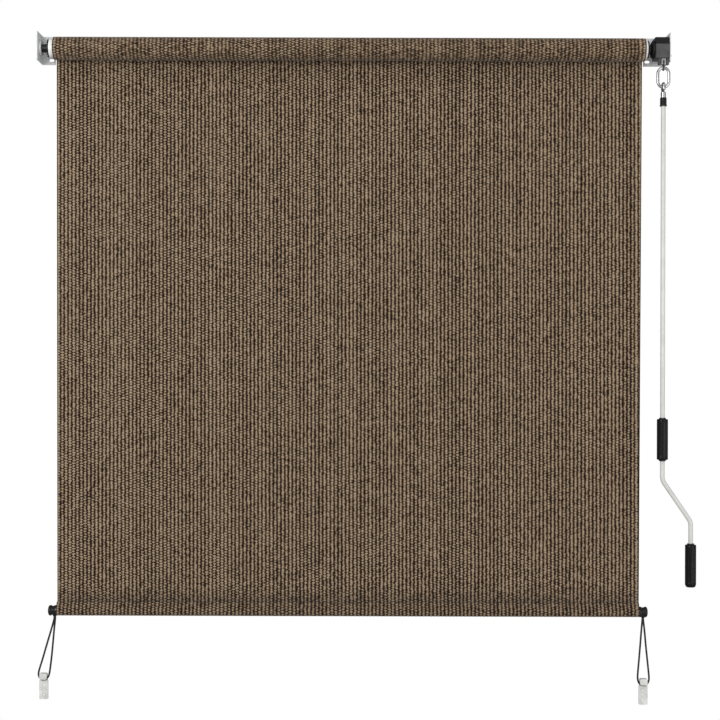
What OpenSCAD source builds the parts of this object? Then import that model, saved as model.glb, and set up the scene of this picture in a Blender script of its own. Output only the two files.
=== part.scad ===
// Outdoor roller shade: wall brackets, roller with worm drive, ribbed cloth, bottom rail and hanging crank.
// Frame: X along the roller, -Y to the front, Z up. The origin lies on the wall between the four slots.

/* [Shade] */
// width of the cloth on the roller
cloth_width = 1402; // [600:2:2400]
// from the slot centre line down to the underside of the hem
drop = 1354.2; // [800:0.2:2200]
// thickness of one turn of cloth on the roller
turn_thickness = 1.1; // [0.6:0.1:1.6]
// turns of cloth left on the roller when the shade is down
turns_left = 5; // [2:1:8]
// ridges across the cloth
rib_count = 120; // [40:1:120]
// height of a ridge over the wall of the cloth
rib_height = 0.5; // [0.2:0.1:0.8]
// wall of the cloth between ridges
cloth_wall = 0.6; // [0.4:0.1:1.2]

/* [Roller] */
// outside diameter of the roller tube
tube_diameter = 44; // [36:0.5:60]
// wall of the roller tube
tube_wall = 1.5; // [1:0.1:2.5]
// tube showing past the cloth on the idler side
tube_end_left = 10; // [4:0.5:20]
// tube showing past the cloth on the drive side
tube_end_right = 5.2; // [4:0.2:20]
// roller axis in front of the wall
axis_front = 42; // [40:0.5:60]
// roller axis below the slot centre line
axis_drop = 2.5; // [0:0.5:10]

/* [Brackets] */
// height of both brackets
bracket_height = 67.5; // [60:0.5:90]
// how far the brackets stand off the wall
bracket_depth = 67.6; // [60:0.1:90]
// sheet thickness of the brackets
plate = 2.2; // [1.5:0.1:3]
// outer face of the left bracket past the end of the tube
idler_reach = 26.8; // [22:0.1:40]
// outer face of the right bracket past the end of the tube
drive_reach = 52.6; // [50:0.1:70]
// middle of the slots past the edge of the cloth
slot_reach = 14; // [10:0.5:18]
// half the distance between the upper and lower slots
slot_half_rise = 22.75; // [18:0.25:30]
// slot width
slot_width = 6.5; // [5:0.5:9]
// slot length, end to end
slot_length = 12; // [8:0.5:16]

/* [Worm drive] */
// module of the worm and wheel
gear_module = 1.5; // [1:0.25:2]
// teeth on the worm wheel
wheel_teeth = 14; // [12:1:20]
// starts on the worm
worm_starts = 2; // [1:1:3]
// pitch diameter of the worm
worm_pitch = 11; // [9:0.5:14]
// length of the worm thread
worm_length = 19; // [14:1:26]
// width of the worm wheel
wheel_width = 9; // [6:0.5:12]
// play between the teeth, taken from both
tooth_play = 0.24; // [0.1:0.02:0.4]
// worm axis inside the outer face of the right bracket
worm_inset = 15.9; // [15:0.1:18]
// wall of the gear case
case_wall = 2; // [1.5:0.1:3]

/* [Crank] */
// rod diameter
rod_diameter = 11; // [8:0.5:16]
// sideways offset of the lower handle
crank_throw = 67.4; // [40:0.2:100]
// grip diameter
grip_diameter = 26; // [20:1:34]
// grip length
grip_length = 96; // [80:1:130]
// width of the chain link, outside
link_width = 33; // [26:0.5:40]
// wire of the chain link
link_wire = 6.8; // [5:0.1:8]

/* [Bottom rail] */
// rail diameter
rail_diameter = 22; // [16:0.5:30]
// how much shorter the rail is than the cloth is wide
rail_short = 7; // [2:0.5:20]
// gap between the hem and the flange of an end cap
hem_gap = 0.6; // [0.3:0.1:2]
// from the middle of the rail up to the stitches of the hem
hem_rise = 21; // [18:0.5:30]
// outside diameter of the end caps
cap_diameter = 25; // [20:0.5:34]
// length of the end caps past the rail
cap_length = 20; // [18:0.2:26]
// diameter of the hold-down cord
cord_diameter = 4.5; // [3:0.1:6]
// width of a cord clip
clip_width = 21.5; // [19:0.5:28]

/* [Hidden] */
$fn = 48;

// clearances, each written once
run_gap = 0.06;
soft_gap = 0.3;
end_gap = 0.4;

ay = -axis_front;
az = -axis_drop;
half_cloth = cloth_width / 2;
tube_r = tube_diameter / 2;
tube_in = tube_r - tube_wall;
roll_r = tube_r + turns_left * turn_thickness;
tube_l = half_cloth + tube_end_left;
tube_rt = half_cloth + tube_end_right;
pin_r = 4;
shaft_r = 5;
flat_cut = 1.2;
plug_r = tube_in - 0.05;
plug_length = 44;
neck_r = 9.85;
disc_r = 21;
disc_left = 4;
disc_right = 3.4;
boss_r = 18.5;
boss_length = 6;
left_face = tube_l + idler_reach;
right_face = tube_rt + drive_reach;
slot_half_span = half_cloth + slot_reach;
worm_offset = right_face - worm_inset;

// gear case, along X
case_left = worm_offset - 18.9;
case_right = right_face - plate;
cover_left = case_right - 2.6;
shoulder_left = case_left - 8;
shoulder_r = 21.5;
shoulder_round = 7;
case_back = -18;
case_front = -68;
case_bottom = -25.2;
case_top = 24.5;
slope_start = 7;
slope_back = -61;
lug_low = -41;

wheel_pitch_r = gear_module * wheel_teeth / 2;
worm_pitch_r = worm_pitch / 2;
wy = ay - wheel_pitch_r - worm_pitch_r;
worm_lead = PI * gear_module * worm_starts;
worm_add = 0.8 * gear_module;
worm_tip = worm_pitch_r + worm_add;
worm_root = worm_pitch_r - 1.25 * gear_module;
journal_top_r = 3;
journal_low_r = 4;
bush_top_r = 5;
bush_low_r = 6;
bush_shaft_r = 7;

yoke_top = case_bottom - 0.8;
pin_z = -37.2;
yoke_r = 4.3;
yoke_slot = 3.4;
yoke_half = 5.4;
tab = 3;
link_top = -48.4;
link_low = -92.8;
link_play = 0.6;
link_ease = 4;
wire_r = link_wire / 2;
eye_hole_r = 4.4;
eye_z = link_top + eye_hole_r - wire_r - link_play;

hook_wire = 3.8;
hook_in = 3.9;
hook_z = link_low + wire_r - hook_in + 0.05;
ferrule_top = -118.6;
ferrule_low = -138.9;
rod_r = rod_diameter / 2;
bend_high = -1023;
bend_low = -1121;
rod_ease = 10;
upper_grip_z = -974.4;
lower_grip_z = -1271.2;
grip_gap = 0.3;
stop_length = 2.7;
stop_r = 8;

panel_t = cloth_wall + 2 * rib_height;
panel_y = ay + roll_r + soft_gap + panel_t / 2;
rail_r = rail_diameter / 2;
hem_in = rail_r + 0.05;
hem_out = hem_in + turn_thickness;
rail_z = -drop + hem_out;
hem_top = rail_z + hem_rise;
rail_length = cloth_width - rail_short;
hem_width = rail_length - 2 * hem_gap;
cord_r = cord_diameter / 2;
cap_r = cap_diameter / 2;
rail_l = -rail_length / 2;
rail_rt = rail_length / 2;

module along_x(x) translate([x, ay, az]) rotate([0, 90, 0]) children();

// round bar along X at a given depth and height
module bar_x(x1, x2, y, z, r) translate([x1, y, z]) rotate([0, 90, 0]) cylinder(r = r, h = x2 - x1);

// round shaft section with one flat, drawn in the plane across the axis
module flatted(r, cut) difference() {
    circle(r = r);
    translate([r - cut, -r]) square([2 * r, 2 * r]);
}

module slots(x) for (z = [-slot_half_rise, slot_half_rise])
    translate([x, 1, z]) rotate([90, 0, 0]) linear_extrude(plate + 2) {
        square([slot_length - slot_width, slot_width], center = true);
        for (s = [-1, 1]) translate([s * (slot_length - slot_width) / 2, 0]) circle(d = slot_width);
    }

module bracket_left() color("gainsboro") difference() {
    union() {
        translate([-left_face, -bracket_depth, -bracket_height / 2])
            cube([plate, bracket_depth, bracket_height]);
        translate([-left_face, -plate, -bracket_height / 2])
            cube([left_face - slot_half_span + 9.5, plate, bracket_height]);
    }
    slots(-slot_half_span);
    bar_x(-left_face - 1, -left_face + plate + 1, ay, az, pin_r);
}

module bracket_right() color("gainsboro") difference() {
    union() {
        translate([case_right, -bracket_depth, -bracket_height / 2])
            cube([plate, bracket_depth, bracket_height]);
        translate([slot_half_span - 9.5, -plate, -bracket_height / 2])
            cube([right_face - slot_half_span + 9.5, plate, bracket_height]);
    }
    slots(slot_half_span);
    for (p = screw_places) bar_x(case_right - 1, right_face + 1, p[0], p[1], 1.6);
}

screw_places = [[case_back - 5.5, case_bottom + 5.2], [case_back - 5.5, case_top - 5.3],
    [case_front + 5.5, case_bottom + 5.2], [case_front + 18, case_top - 5.3]];

module idler_boss() color("silver") difference() {
    bar_x(-left_face + plate, -left_face + plate + boss_length, ay, az, boss_r);
    bar_x(-left_face, -left_face + plate + boss_length + 1, ay, az, pin_r);
}

module idler_pin() color("gray") union() {
    bar_x(-left_face - 2.2, -left_face, ay, az, 6.5);
    bar_x(-left_face, -tube_l + plug_length - 3, ay, az, pin_r);
}

module idler_plug() color("black") difference() {
    union() {
        bar_x(-left_face + plate + boss_length + end_gap, -tube_l - disc_left, ay, az, neck_r);
        bar_x(-tube_l - disc_left, -tube_l, ay, az, disc_r);
        bar_x(-tube_l, -tube_l + plug_length, ay, az, plug_r);
    }
    bar_x(-left_face, -tube_l + plug_length - 2, ay, az, pin_r + run_gap);
    groove_notch(-tube_l, plug_length + 1);
}

// room in a plug for the channel that runs inside the tube
module groove_notch(x, length) along_x(x) linear_extrude(length) translate([-23, -3.7]) square([8.5, 7.4]);

module roller_tube() color("whitesmoke") along_x(-tube_l) linear_extrude(tube_l + tube_rt) difference() {
    union() {
        difference() {
            circle(r = tube_r);
            circle(r = tube_in);
        }
        intersection() {
            circle(r = tube_r);
            translate([-tube_r, -3.6]) square([7.4, 7.2]);
        }
    }
    translate([-20.6, -2.4]) square([4.4, 4.8]);
    translate([-tube_r - 1, -1.1]) square([3, 2.2]);
}

module cloth_spline() color("dimgray") translate([-half_cloth, ay, az + 18.2]) rotate([0, 90, 0])
    cylinder(r = 1.9, h = cloth_width);

// the turns left on the roller, each a little longer or shorter than the next at its end
module cloth_roll() color("tan") along_x(0) rotate_extrude($fn = 72) polygon(concat(
    [for (i = [0 : turns_left - 1]) for (k = [0, 1])
        [tube_r + (i + k) * turn_thickness, half_cloth - (i % 2) * 0.8]],
    [for (i = [turns_left - 1 : -1 : 0]) for (k = [1, 0])
        [tube_r + (i + k) * turn_thickness, -half_cloth + (i % 2) * 0.8]]));

module drive_plug() color("black") difference() {
    union() {
        bar_x(tube_rt - plug_length, tube_rt, ay, az, plug_r);
        bar_x(tube_rt, tube_rt + disc_right, ay, az, disc_r);
        bar_x(tube_rt + disc_right, shoulder_left - end_gap, ay, az, 11);
    }
    along_x(tube_rt - 20) linear_extrude(shoulder_left - tube_rt + 21) flatted(shaft_r, flat_cut);
    groove_notch(tube_rt - plug_length - 1, plug_length + 1);
}

module drive_shaft() color("gray") difference() {
    union() {
        along_x(tube_rt - 20) linear_extrude(shoulder_left - end_gap - tube_rt + 20) flatted(shaft_r, flat_cut);
        bar_x(shoulder_left - end_gap, worm_offset - wheel_width / 2, ay, az, shaft_r);
        along_x(worm_offset - wheel_width / 2) linear_extrude(wheel_width) flatted(shaft_r, flat_cut);
        bar_x(worm_offset + wheel_width / 2, case_right - 1, ay, az, shaft_r);
    }
    along_x(worm_offset + wheel_width / 2) difference() {
        cylinder(r = 8, h = 1.1);
        cylinder(r = 4.1, h = 1.1);
    }
}

module shaft_clip() color("gray") along_x(worm_offset + wheel_width / 2) difference() {
    cylinder(r = 6.8, h = 1.1);
    cylinder(r = 4.1, h = 1.1);
    translate([0, -2, 0]) cube([8, 4, 1.1]);
}

// involute worm wheel: half the angle a tooth fills at radius r, in degrees
function inv(a) = tan(a) * 180 / PI - a;
base_r = wheel_pitch_r * cos(20);
function fill(r) = (PI * gear_module / 2 - tooth_play / 2) / 2 / wheel_pitch_r * 180 / PI
    + inv(20) - inv(acos(base_r / r));
wheel_root = wheel_pitch_r - 1.25 * gear_module;
wheel_tip = wheel_pitch_r + 0.9 * gear_module;
flank = [for (i = [0 : 5]) base_r + 0.02 + (wheel_tip - base_r - 0.02) * i / 5];
function around(r, a) = [r * cos(a), r * sin(a)];
wheel_helix = atan(gear_module * worm_starts / worm_pitch);

module worm_wheel() color("goldenrod") along_x(worm_offset - wheel_width / 2) difference() {
    rotate(wheel_width / 2 * tan(wheel_helix) / wheel_pitch_r * 180 / PI * -1)
        linear_extrude(wheel_width, slices = 6,
            twist = -wheel_width * tan(wheel_helix) / wheel_pitch_r * 180 / PI)
            polygon([for (k = [0 : wheel_teeth - 1]) let (c = 270 + k * 360 / wheel_teeth)
                each concat([around(wheel_root, c - fill(flank[0]) - 1)],
                    [for (i = [0 : 5]) around(flank[i], c - fill(flank[i]))],
                    [for (i = [5 : -1 : 0]) around(flank[i], c + fill(flank[i]))],
                    [around(wheel_root, c + fill(flank[0]) + 1)])]);
    translate([0, 0, -1]) linear_extrude(wheel_width + 2) flatted(shaft_r + 0.02, flat_cut);
}

// worm thread: half the angle the thread fills at its tip and its root, in degrees
thread_mid = (PI * gear_module / 2 - tooth_play / 2) / 2;
tip_fill = (thread_mid - worm_add * tan(20)) / worm_lead * 360;
root_fill = (thread_mid + 1.25 * gear_module * tan(20)) / worm_lead * 360;
worm_low = az - worm_length / 2;
worm_high = az + worm_length / 2;

module worm_shaft() color("lightgray") translate([worm_offset, wy, 0]) union() {
    translate([0, 0, worm_low]) rotate(-180 * worm_length / worm_lead)
        linear_extrude(worm_length, twist = -360 * worm_length / worm_lead, slices = 60)
            polygon([for (k = [0 : worm_starts - 1]) let (c = k * 360 / worm_starts)
                each concat(
                    [for (i = [4 : -1 : 0]) around(worm_root + (worm_tip - worm_root) * (4 - i) / 4,
                        c - tip_fill - (root_fill - tip_fill) * i / 4)],
                    [around(worm_tip, c)],
                    [for (i = [0 : 4]) around(worm_root + (worm_tip - worm_root) * (4 - i) / 4,
                        c + tip_fill + (root_fill - tip_fill) * i / 4)],
                    [around(worm_root, c + 180 / worm_starts)])]);
    translate([0, 0, worm_high]) cylinder(r = journal_top_r, h = 13.6 - worm_high);
    translate([0, 0, yoke_top]) cylinder(r = journal_low_r, h = worm_low - yoke_top);
    difference() {
        union() {
            translate([-yoke_half, -yoke_r, yoke_top - 3.2]) cube([2 * yoke_half, 2 * yoke_r, 3.2]);
            translate([-yoke_half, -yoke_r, pin_z])
                cube([2 * yoke_half, 2 * yoke_r, yoke_top - pin_z - 1]);
            translate([-yoke_half, 0, pin_z]) rotate([0, 90, 0])
                cylinder(r = yoke_r, h = 2 * yoke_half);
        }
        translate([-yoke_slot / 2, -yoke_r - 1, pin_z - yoke_r - 1])
            cube([yoke_slot, 2 * yoke_r + 2, yoke_top - 3.2 - pin_z + yoke_r + 1]);
        translate([-yoke_half - 1, 0, pin_z]) rotate([0, 90, 0]) cylinder(r = 2, h = 2 * yoke_half + 2);
    }
}

module yoke_pin() color("dimgray") union() {
    bar_x(worm_offset - yoke_half - 1, worm_offset + yoke_half, wy, pin_z, 2);
    bar_x(worm_offset - yoke_half - 1, worm_offset - yoke_half, wy, pin_z, 3.2);
    bar_x(worm_offset + yoke_half, worm_offset + yoke_half + 1, wy, pin_z, 3.2);
}

module ring_z(z1, z2, r_out, r_in) translate([worm_offset, wy, z1]) difference() {
    cylinder(r = r_out, h = z2 - z1);
    translate([0, 0, -1]) cylinder(r = r_in, h = z2 - z1 + 2);
}

module worm_bush_top() color("goldenrod") ring_z(8.8, 13.6, bush_top_r, journal_top_r + run_gap);

module worm_bush_bottom() color("goldenrod")
    ring_z(case_bottom + case_wall, worm_low - end_gap, bush_low_r, journal_low_r + run_gap);

module ring_x(x1, x2, r_out, r_in) difference() {
    bar_x(x1, x2, ay, az, r_out);
    bar_x(x1 - 1, x2 + 1, ay, az, r_in);
}

module shaft_bush_inner() color("goldenrod")
    ring_x(shoulder_left, case_left + case_wall, bush_shaft_r, shaft_r + run_gap);

module shaft_bush_outer() color("goldenrod")
    ring_x(cover_left - 4, case_right, bush_shaft_r, shaft_r + run_gap);

// outline of the gear case seen from the side, pulled in by a wall
module case_outline(w) polygon([[case_front + w, case_bottom + w], [case_back - w, case_bottom + w],
    [case_back - w, case_top - w - 3], [case_back - w - 3, case_top - w],
    [slope_back + 0.6 * w, case_top - w], [case_front + w, slope_start - 0.4 * w]]);

// extrude a side outline along X
module side_x(x1, x2) translate([x1, 0, 0]) rotate([90, 0, 90]) linear_extrude(x2 - x1) children();

module gear_case() color([0.13, 0.13, 0.14]) difference() {
    union() {
        difference() {
            side_x(case_left, cover_left) case_outline(0);
            side_x(case_left + case_wall, cover_left + 1) case_outline(case_wall);
        }
        // shoulder round the shaft, its rim rounded to a quarter circle
        along_x(shoulder_left) rotate_extrude() polygon(concat([[0, 0]],
            [for (a = [0 : 15 : 90]) [shoulder_r - shoulder_round * (1 - sin(a)), shoulder_round * (1 - cos(a))]],
            [[shoulder_r, case_left + case_wall - shoulder_left], [0, case_left + case_wall - shoulder_left]]));
        // holders of the worm bushes
        intersection() {
            side_x(case_left, cover_left) case_outline(0);
            union() {
                translate([worm_offset - 7, case_front, 8.8]) cube([14, 17, 14]);
                translate([worm_offset - 7.5, case_front, case_bottom])
                    cube([15, 18, worm_low - end_gap - case_bottom]);
            }
        }
        // posts that take the case screws
        intersection() {
            side_x(case_left, cover_left) case_outline(0);
            for (p = screw_places) bar_x(case_right - 6.8, cover_left, p[0], p[1], 4.5);
        }
        // lugs that guard the yoke
        for (s = [-1, 1]) translate([worm_offset + s * 10 - 2.3, wy - 5.5, lug_low])
            cube([4.6, 11, case_bottom - lug_low]);
    }
    bar_x(shoulder_left - 1, case_left + case_wall + 1, ay, az, bush_shaft_r);
    translate([worm_offset, wy, 8]) cylinder(r = bush_top_r, h = 5.6);
    translate([worm_offset, wy, case_bottom + case_wall]) cylinder(r = bush_low_r, h = 20);
    translate([worm_offset, wy, case_bottom - 1]) cylinder(r = journal_low_r + end_gap, h = 5);
    for (p = screw_places) bar_x(case_right - 6.3, case_right, p[0], p[1], 1.5);
}

module gear_cover() color([0.16, 0.16, 0.17]) difference() {
    union() {
        side_x(cover_left, case_right) case_outline(0);
        bar_x(cover_left - 4, case_right, ay, az, 9);
    }
    bar_x(cover_left - 5, case_right + 1, ay, az, bush_shaft_r);
    for (p = screw_places) bar_x(cover_left - 1, case_right + 1, p[0], p[1], 1.6);
}

module case_screws() color("gray") for (p = screw_places) difference() {
    union() {
        bar_x(case_right - 6.3, right_face, p[0], p[1], 1.5);
        bar_x(right_face, right_face + 1.8, p[0], p[1], 2.8);
    }
    translate([right_face + 1, p[0] - 3, p[1] - 0.4]) cube([2, 6, 0.8]);
}

module eye_link() color("dimgray") translate([worm_offset - tab / 2, wy, 0]) rotate([90, 0, 90])
    linear_extrude(tab) difference() {
        union() {
            translate([0, pin_z]) circle(r = 3.9);
            translate([-3.9, eye_z]) square([7.8, pin_z - eye_z]);
            translate([0, eye_z]) circle(r = 7);
        }
        translate([0, pin_z]) circle(r = 2 + run_gap);
        translate([0, eye_z]) circle(r = eye_hole_r);
    }

link_side = link_width / 2 - wire_r;
link_path = [[worm_offset - 7, link_top], [worm_offset + 7, link_top], [worm_offset + link_side, link_top - 9],
    [worm_offset + link_side, link_low + 9], [worm_offset + 7, link_low], [worm_offset - 7, link_low],
    [worm_offset - link_side, link_low + 9], [worm_offset - link_side, link_top - 9]];

function unit(v) = v / norm(v);

// direction of a side of a path
function side_way(p, i) = unit(p[(i + 1) % len(p)] - p[i % len(p)]);

// a path given as x and z with its corners eased, set in the plane of the worm
function eased(path, cut, closed, steps) = let (n = len(path)) concat(closed ? [] : [path[0]],
    [for (i = [closed ? 0 : 1 : closed ? n - 1 : n - 2]) let (c = path[i],
        a = c - cut * side_way(path, i + n - 1), b = c + cut * side_way(path, i))
        for (k = [0 : steps]) let (t = k / steps) (1 - t) * (1 - t) * a + 2 * t * (1 - t) * c + t * t * b],
    closed ? [] : [path[n - 1]]);
function in_plane(path) = [for (p = path) [p[0], wy, p[1]]];

// direction of a tube at a point; open ends are cut level
function heading(p, i, closed) = let (m = len(p)) closed || (i > 0 && i < m - 1)
    ? unit(p[(i + 1) % m] - p[(i + m - 1) % m])
    : [0, 0, i == 0 ? sign(p[1][2] - p[0][2]) : sign(p[i][2] - p[i - 1][2])];

// a round tube swept along a route as one closed solid
module tube(p, r, sides, closed) {
    m = len(p);
    n = sides;
    rings = [for (i = [0 : m - 1]) let (t = heading(p, i, closed), u = unit(cross(t, [0, 1, 0])), v = cross(t, u))
        for (k = [0 : n - 1]) let (a = k * 360 / n) p[i] + r * (cos(a) * u + sin(a) * v)];
    polyhedron(rings, concat(
        closed ? [] : [[for (k = [0 : n - 1]) k], [for (k = [n - 1 : -1 : 0]) (m - 1) * n + k]],
        [for (i = [0 : closed ? m - 1 : m - 2]) for (k = [0 : n - 1]) let (j = (i + 1) % m)
            [i * n + k, j * n + k, j * n + (k + 1) % n, i * n + (k + 1) % n]]));
}

module chain_link() color("silver") tube(in_plane(eased(link_path, link_ease, true, 3)), wire_r, 16, true);

module crank_hook() color("silver") union() {
    translate([worm_offset, wy, hook_z]) rotate([90, 0, 90])
        rotate_extrude(angle = 180) translate([hook_in + hook_wire, 0]) circle(r = hook_wire);
    translate([worm_offset, wy - hook_in - hook_wire, hook_z - 5.5]) cylinder(r = hook_wire, h = 5.5);
    translate([worm_offset, wy - hook_in - hook_wire, hook_z - 5.5]) sphere(r = hook_wire);
    translate([worm_offset, wy + hook_in + hook_wire, hook_z - 6]) cylinder(r = hook_wire, h = 6);
    translate([worm_offset, wy + hook_in + hook_wire, hook_z - 6]) sphere(r = hook_wire);
    translate([worm_offset, wy + hook_in + hook_wire, hook_z - 6])
        rotate([180 - atan((hook_in + hook_wire) / 9), 0, 0]) cylinder(r = hook_wire, h = 11.8);
    translate([worm_offset, wy, ferrule_top]) cylinder(r = 6.1, h = hook_z - 12 - ferrule_top);
}

module crank_ferrule() color([0.1, 0.1, 0.1]) translate([worm_offset, wy, ferrule_low])
    rotate_extrude() polygon([[rod_r, 0], [8.4, 0], [8.4, 3], [7.7, 17], [7.7, ferrule_top - ferrule_low],
        [0, ferrule_top - ferrule_low], [0, 14], [rod_r, 14]]);

rod_path = [[worm_offset, ferrule_low + 14], [worm_offset, bend_high],
    [worm_offset + crank_throw, bend_low], [worm_offset + crank_throw, lower_grip_z - grip_gap - 0.7]];

module crank_rod() color("linen") tube(in_plane(eased(rod_path, rod_ease, false, 5)), rod_r, 20, false);

module stop(x, z) translate([x, wy, z]) difference() {
    cylinder(r = stop_r, h = stop_length);
    translate([0, 0, -1]) cylinder(r = rod_r, h = stop_length + 2);
}

module grip_stops() color([0.1, 0.1, 0.1]) {
    stop(worm_offset, upper_grip_z - stop_length - grip_gap);
    stop(worm_offset, upper_grip_z + grip_length + grip_gap);
    stop(worm_offset + crank_throw, lower_grip_z + grip_length + grip_gap);
}

module grip_end() color([0.1, 0.1, 0.1]) translate([worm_offset + crank_throw, wy, lower_grip_z - grip_gap])
    rotate_extrude() polygon([[rod_r, 0], [12, 0], [11, -2.4], [8, -3.9], [0, -4.5], [0, -0.7], [rod_r, -0.7]]);

// a turned grip with shallow flutes
module grip(x, z) translate([x, wy, z]) difference() {
    rotate_extrude() polygon([[rod_r + run_gap, 0], [grip_diameter / 2 - 1.5, 0], [grip_diameter / 2, 1.5],
        [grip_diameter / 2, grip_length - 1.5], [grip_diameter / 2 - 1.5, grip_length],
        [rod_r + run_gap, grip_length]]);
    for (k = [0 : 11]) rotate(k * 30) translate([grip_diameter / 2 + 2.2, 0, 6])
        cylinder(r = 3, h = grip_length - 12);
}

module upper_grip() color([0.08, 0.08, 0.08]) grip(worm_offset, upper_grip_z);

module lower_grip() color([0.08, 0.08, 0.08]) grip(worm_offset + crank_throw, lower_grip_z);

// hanging cloth: one wall with ridges on both sides, seen from above
module cloth_panel() color("tan") translate([0, panel_y, hem_top]) linear_extrude(az - hem_top) polygon(concat(
    [for (i = [0 : rib_count - 1]) for (q = [[0.14, 0], [0.3, 1], [0.7, 1], [0.86, 0]])
        [-half_cloth + (i + q[0]) * cloth_width / rib_count, -cloth_wall / 2 - q[1] * rib_height]],
    [for (i = [rib_count - 1 : -1 : 0]) for (q = [[0.86, 0], [0.7, 1], [0.3, 1], [0.14, 0]])
        [-half_cloth + (i + q[0]) * cloth_width / rib_count, cloth_wall / 2 + q[1] * rib_height]]));

// the pocket that the rail lies in, seen from the side
hem_lean = acos(hem_out / hem_rise);
module drop_shape(r, top, half_top) union() {
    circle(r = r);
    polygon([[-r * sin(hem_lean), r * cos(hem_lean)], [r * sin(hem_lean), r * cos(hem_lean)],
        [half_top, top], [-half_top, top]]);
}

module cloth_hem() color("tan") difference() {
    translate([-hem_width / 2, panel_y, rail_z]) rotate([90, 0, 90]) linear_extrude(hem_width)
        difference() {
            drop_shape(hem_out, hem_rise, 1.2);
            drop_shape(hem_in, hem_rise - 2, 0.1);
        }
    translate([-hem_width / 2 - 1, panel_y - 1.6, hem_top - 2]) cube([hem_width + 2, 0.55, 0.9]);
}

module bottom_rail() color("silver") difference() {
    bar_x(rail_l, rail_rt, panel_y, rail_z, rail_r);
    bar_x(rail_l - 1, rail_rt + 1, panel_y, rail_z, rail_r - 1.4);
}

// end cap: spigot, inner flange, groove and domed outer flange, with a foot for the cord
module end_cap(x, way, foot) translate([x, panel_y, rail_z]) mirror([way < 0 ? 1 : 0, 0, 0]) union() {
    rotate([0, 90, 0]) rotate_extrude() polygon([[0, -20], [rail_r - 1.9, -20], [rail_r - 1.4, -18],
        [rail_r - 1.4, 0], [cap_r, 0], [cap_r, 4.6], [cap_r - 1.6, 6], [cap_r - 1.6, cap_length - 9],
        [cap_r, cap_length - 7.4], [cap_r, cap_length - 4.4], [cap_r - 1.5, cap_length - 2],
        [cap_r - 5, cap_length - 0.6], [0, cap_length]]);
    translate([foot - 4, -5.4, -cap_r - 1]) cube([8, 10.8, 8]);
}

module end_cap_left() color([0.08, 0.08, 0.08]) end_cap(rail_l, -1, foot_left);

module end_cap_right() color([0.08, 0.08, 0.08]) end_cap(rail_rt, 1, foot_right);

// hold-down loops: a route from the foot of the cap down, round and up again, counted from the foot
foot_z = rail_z - cap_r - 1;
foot_left = 4.2;
foot_right = 8.8;
left_foot = [rail_l - foot_left, panel_y, foot_z];
right_foot = [rail_rt + foot_right, panel_y, foot_z];
left_route = [[-0.6, -2.6, 0], [-1.6, -2.6, -9], [-8.6, -2.4, -34], [-18.6, -2.2, -68], [-28.5, -1.6, -102],
    [-36, -1, -126], [-38.6, -0.5, -137.5], [-37.4, 0, -145.5], [-33, 0, -151], [-27, 0, -152.7],
    [-20.6, 0, -150.6], [-15.3, 0, -145.2], [-12.7, 0.5, -137], [-10.6, 1, -122.5], [-7.8, 1.6, -98],
    [-4.8, 2.2, -65], [-2.2, 2.4, -34], [0.2, 2.6, -9], [0.6, 2.6, 0]];
right_route = [[-1.3, -2.6, 0], [-2, -2.6, -9], [-4.1, -2.4, -35], [-6.8, -2.2, -71], [-9.4, -1.6, -104.5],
    [-11.7, -1, -133], [-11.9, -0.5, -145], [-10, 0, -154], [-5.4, 0, -160], [2, 0, -162],
    [9.2, 0, -160], [13.7, 0, -154], [15.4, 0.5, -145], [14.6, 1, -133], [11.7, 1.6, -104],
    [8.2, 2.2, -70.5], [5, 2.4, -35], [2.1, 2.6, -9], [1.3, 2.6, 0]];
function routed(foot, route) = [for (p = route) foot + p];

cord_sides = 8;

module bungee_left() color([0.08, 0.08, 0.08]) tube(routed(left_foot, left_route), cord_r,
    cord_sides, false);

module bungee_right() color([0.08, 0.08, 0.08]) tube(routed(right_foot, right_route), cord_r,
    cord_sides, false);

// cord clip: a plate with two screw holes, and a head whose saddle the cord goes round behind a lip
clip_low = -47.5;
head_half = 9;
head_top = 15.8;
saddle_r = 7.7;
lip_gap = 0.3;
back_gap = 0.4;

// flat shape with rounded corners, seen from the front
module rounded(x1, z1, x2, z2, r) union() {
    translate([x1 + r, z1]) square([x2 - x1 - 2 * r, z2 - z1]);
    translate([x1, z1 + r]) square([x2 - x1, z2 - z1 - 2 * r]);
    for (x = [x1 + r, x2 - r]) for (z = [z1 + r, z2 - r]) translate([x, z]) circle(r = r);
}

// extrude a front outline from one depth back to another
module front_y(y1, y2) translate([0, y2, 0]) rotate([90, 0, 0]) linear_extrude(y2 - y1) children();

module cord_clip(at) translate(at) difference() {
    union() {
        front_y(cord_r + back_gap, cord_r + back_gap + 4)
            rounded(-clip_width / 2, clip_low, clip_width / 2, -1, 2.5);
        front_y(cord_r + back_gap, cord_r + back_gap + 4) rounded(-head_half, -6, head_half, head_top, 3);
        front_y(-cord_r - lip_gap, cord_r + back_gap) intersection() {
            translate([0, cord_r + 0.65 + saddle_r]) circle(r = saddle_r);
            translate([-saddle_r, 0]) square([2 * saddle_r, head_top]);
        }
        front_y(-cord_r - lip_gap - 2.8, -cord_r - lip_gap) rounded(-head_half, 0.5, head_half, head_top, 5);
    }
    // screw holes with countersinks
    for (h = [-14, -37]) translate([0, cord_r + back_gap, h]) rotate([-90, 0, 0]) {
        translate([0, 0, -1]) cylinder(r = 2.1, h = 6);
        cylinder(r1 = 4.2, r2 = 2.1, h = 2.1);
    }
}

module clip_left() color([0.85, 0.85, 0.83, 0.8]) cord_clip(left_foot + left_route[9]);

module clip_right() color([0.85, 0.85, 0.83, 0.8]) cord_clip(right_foot + right_route[9]);

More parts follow.
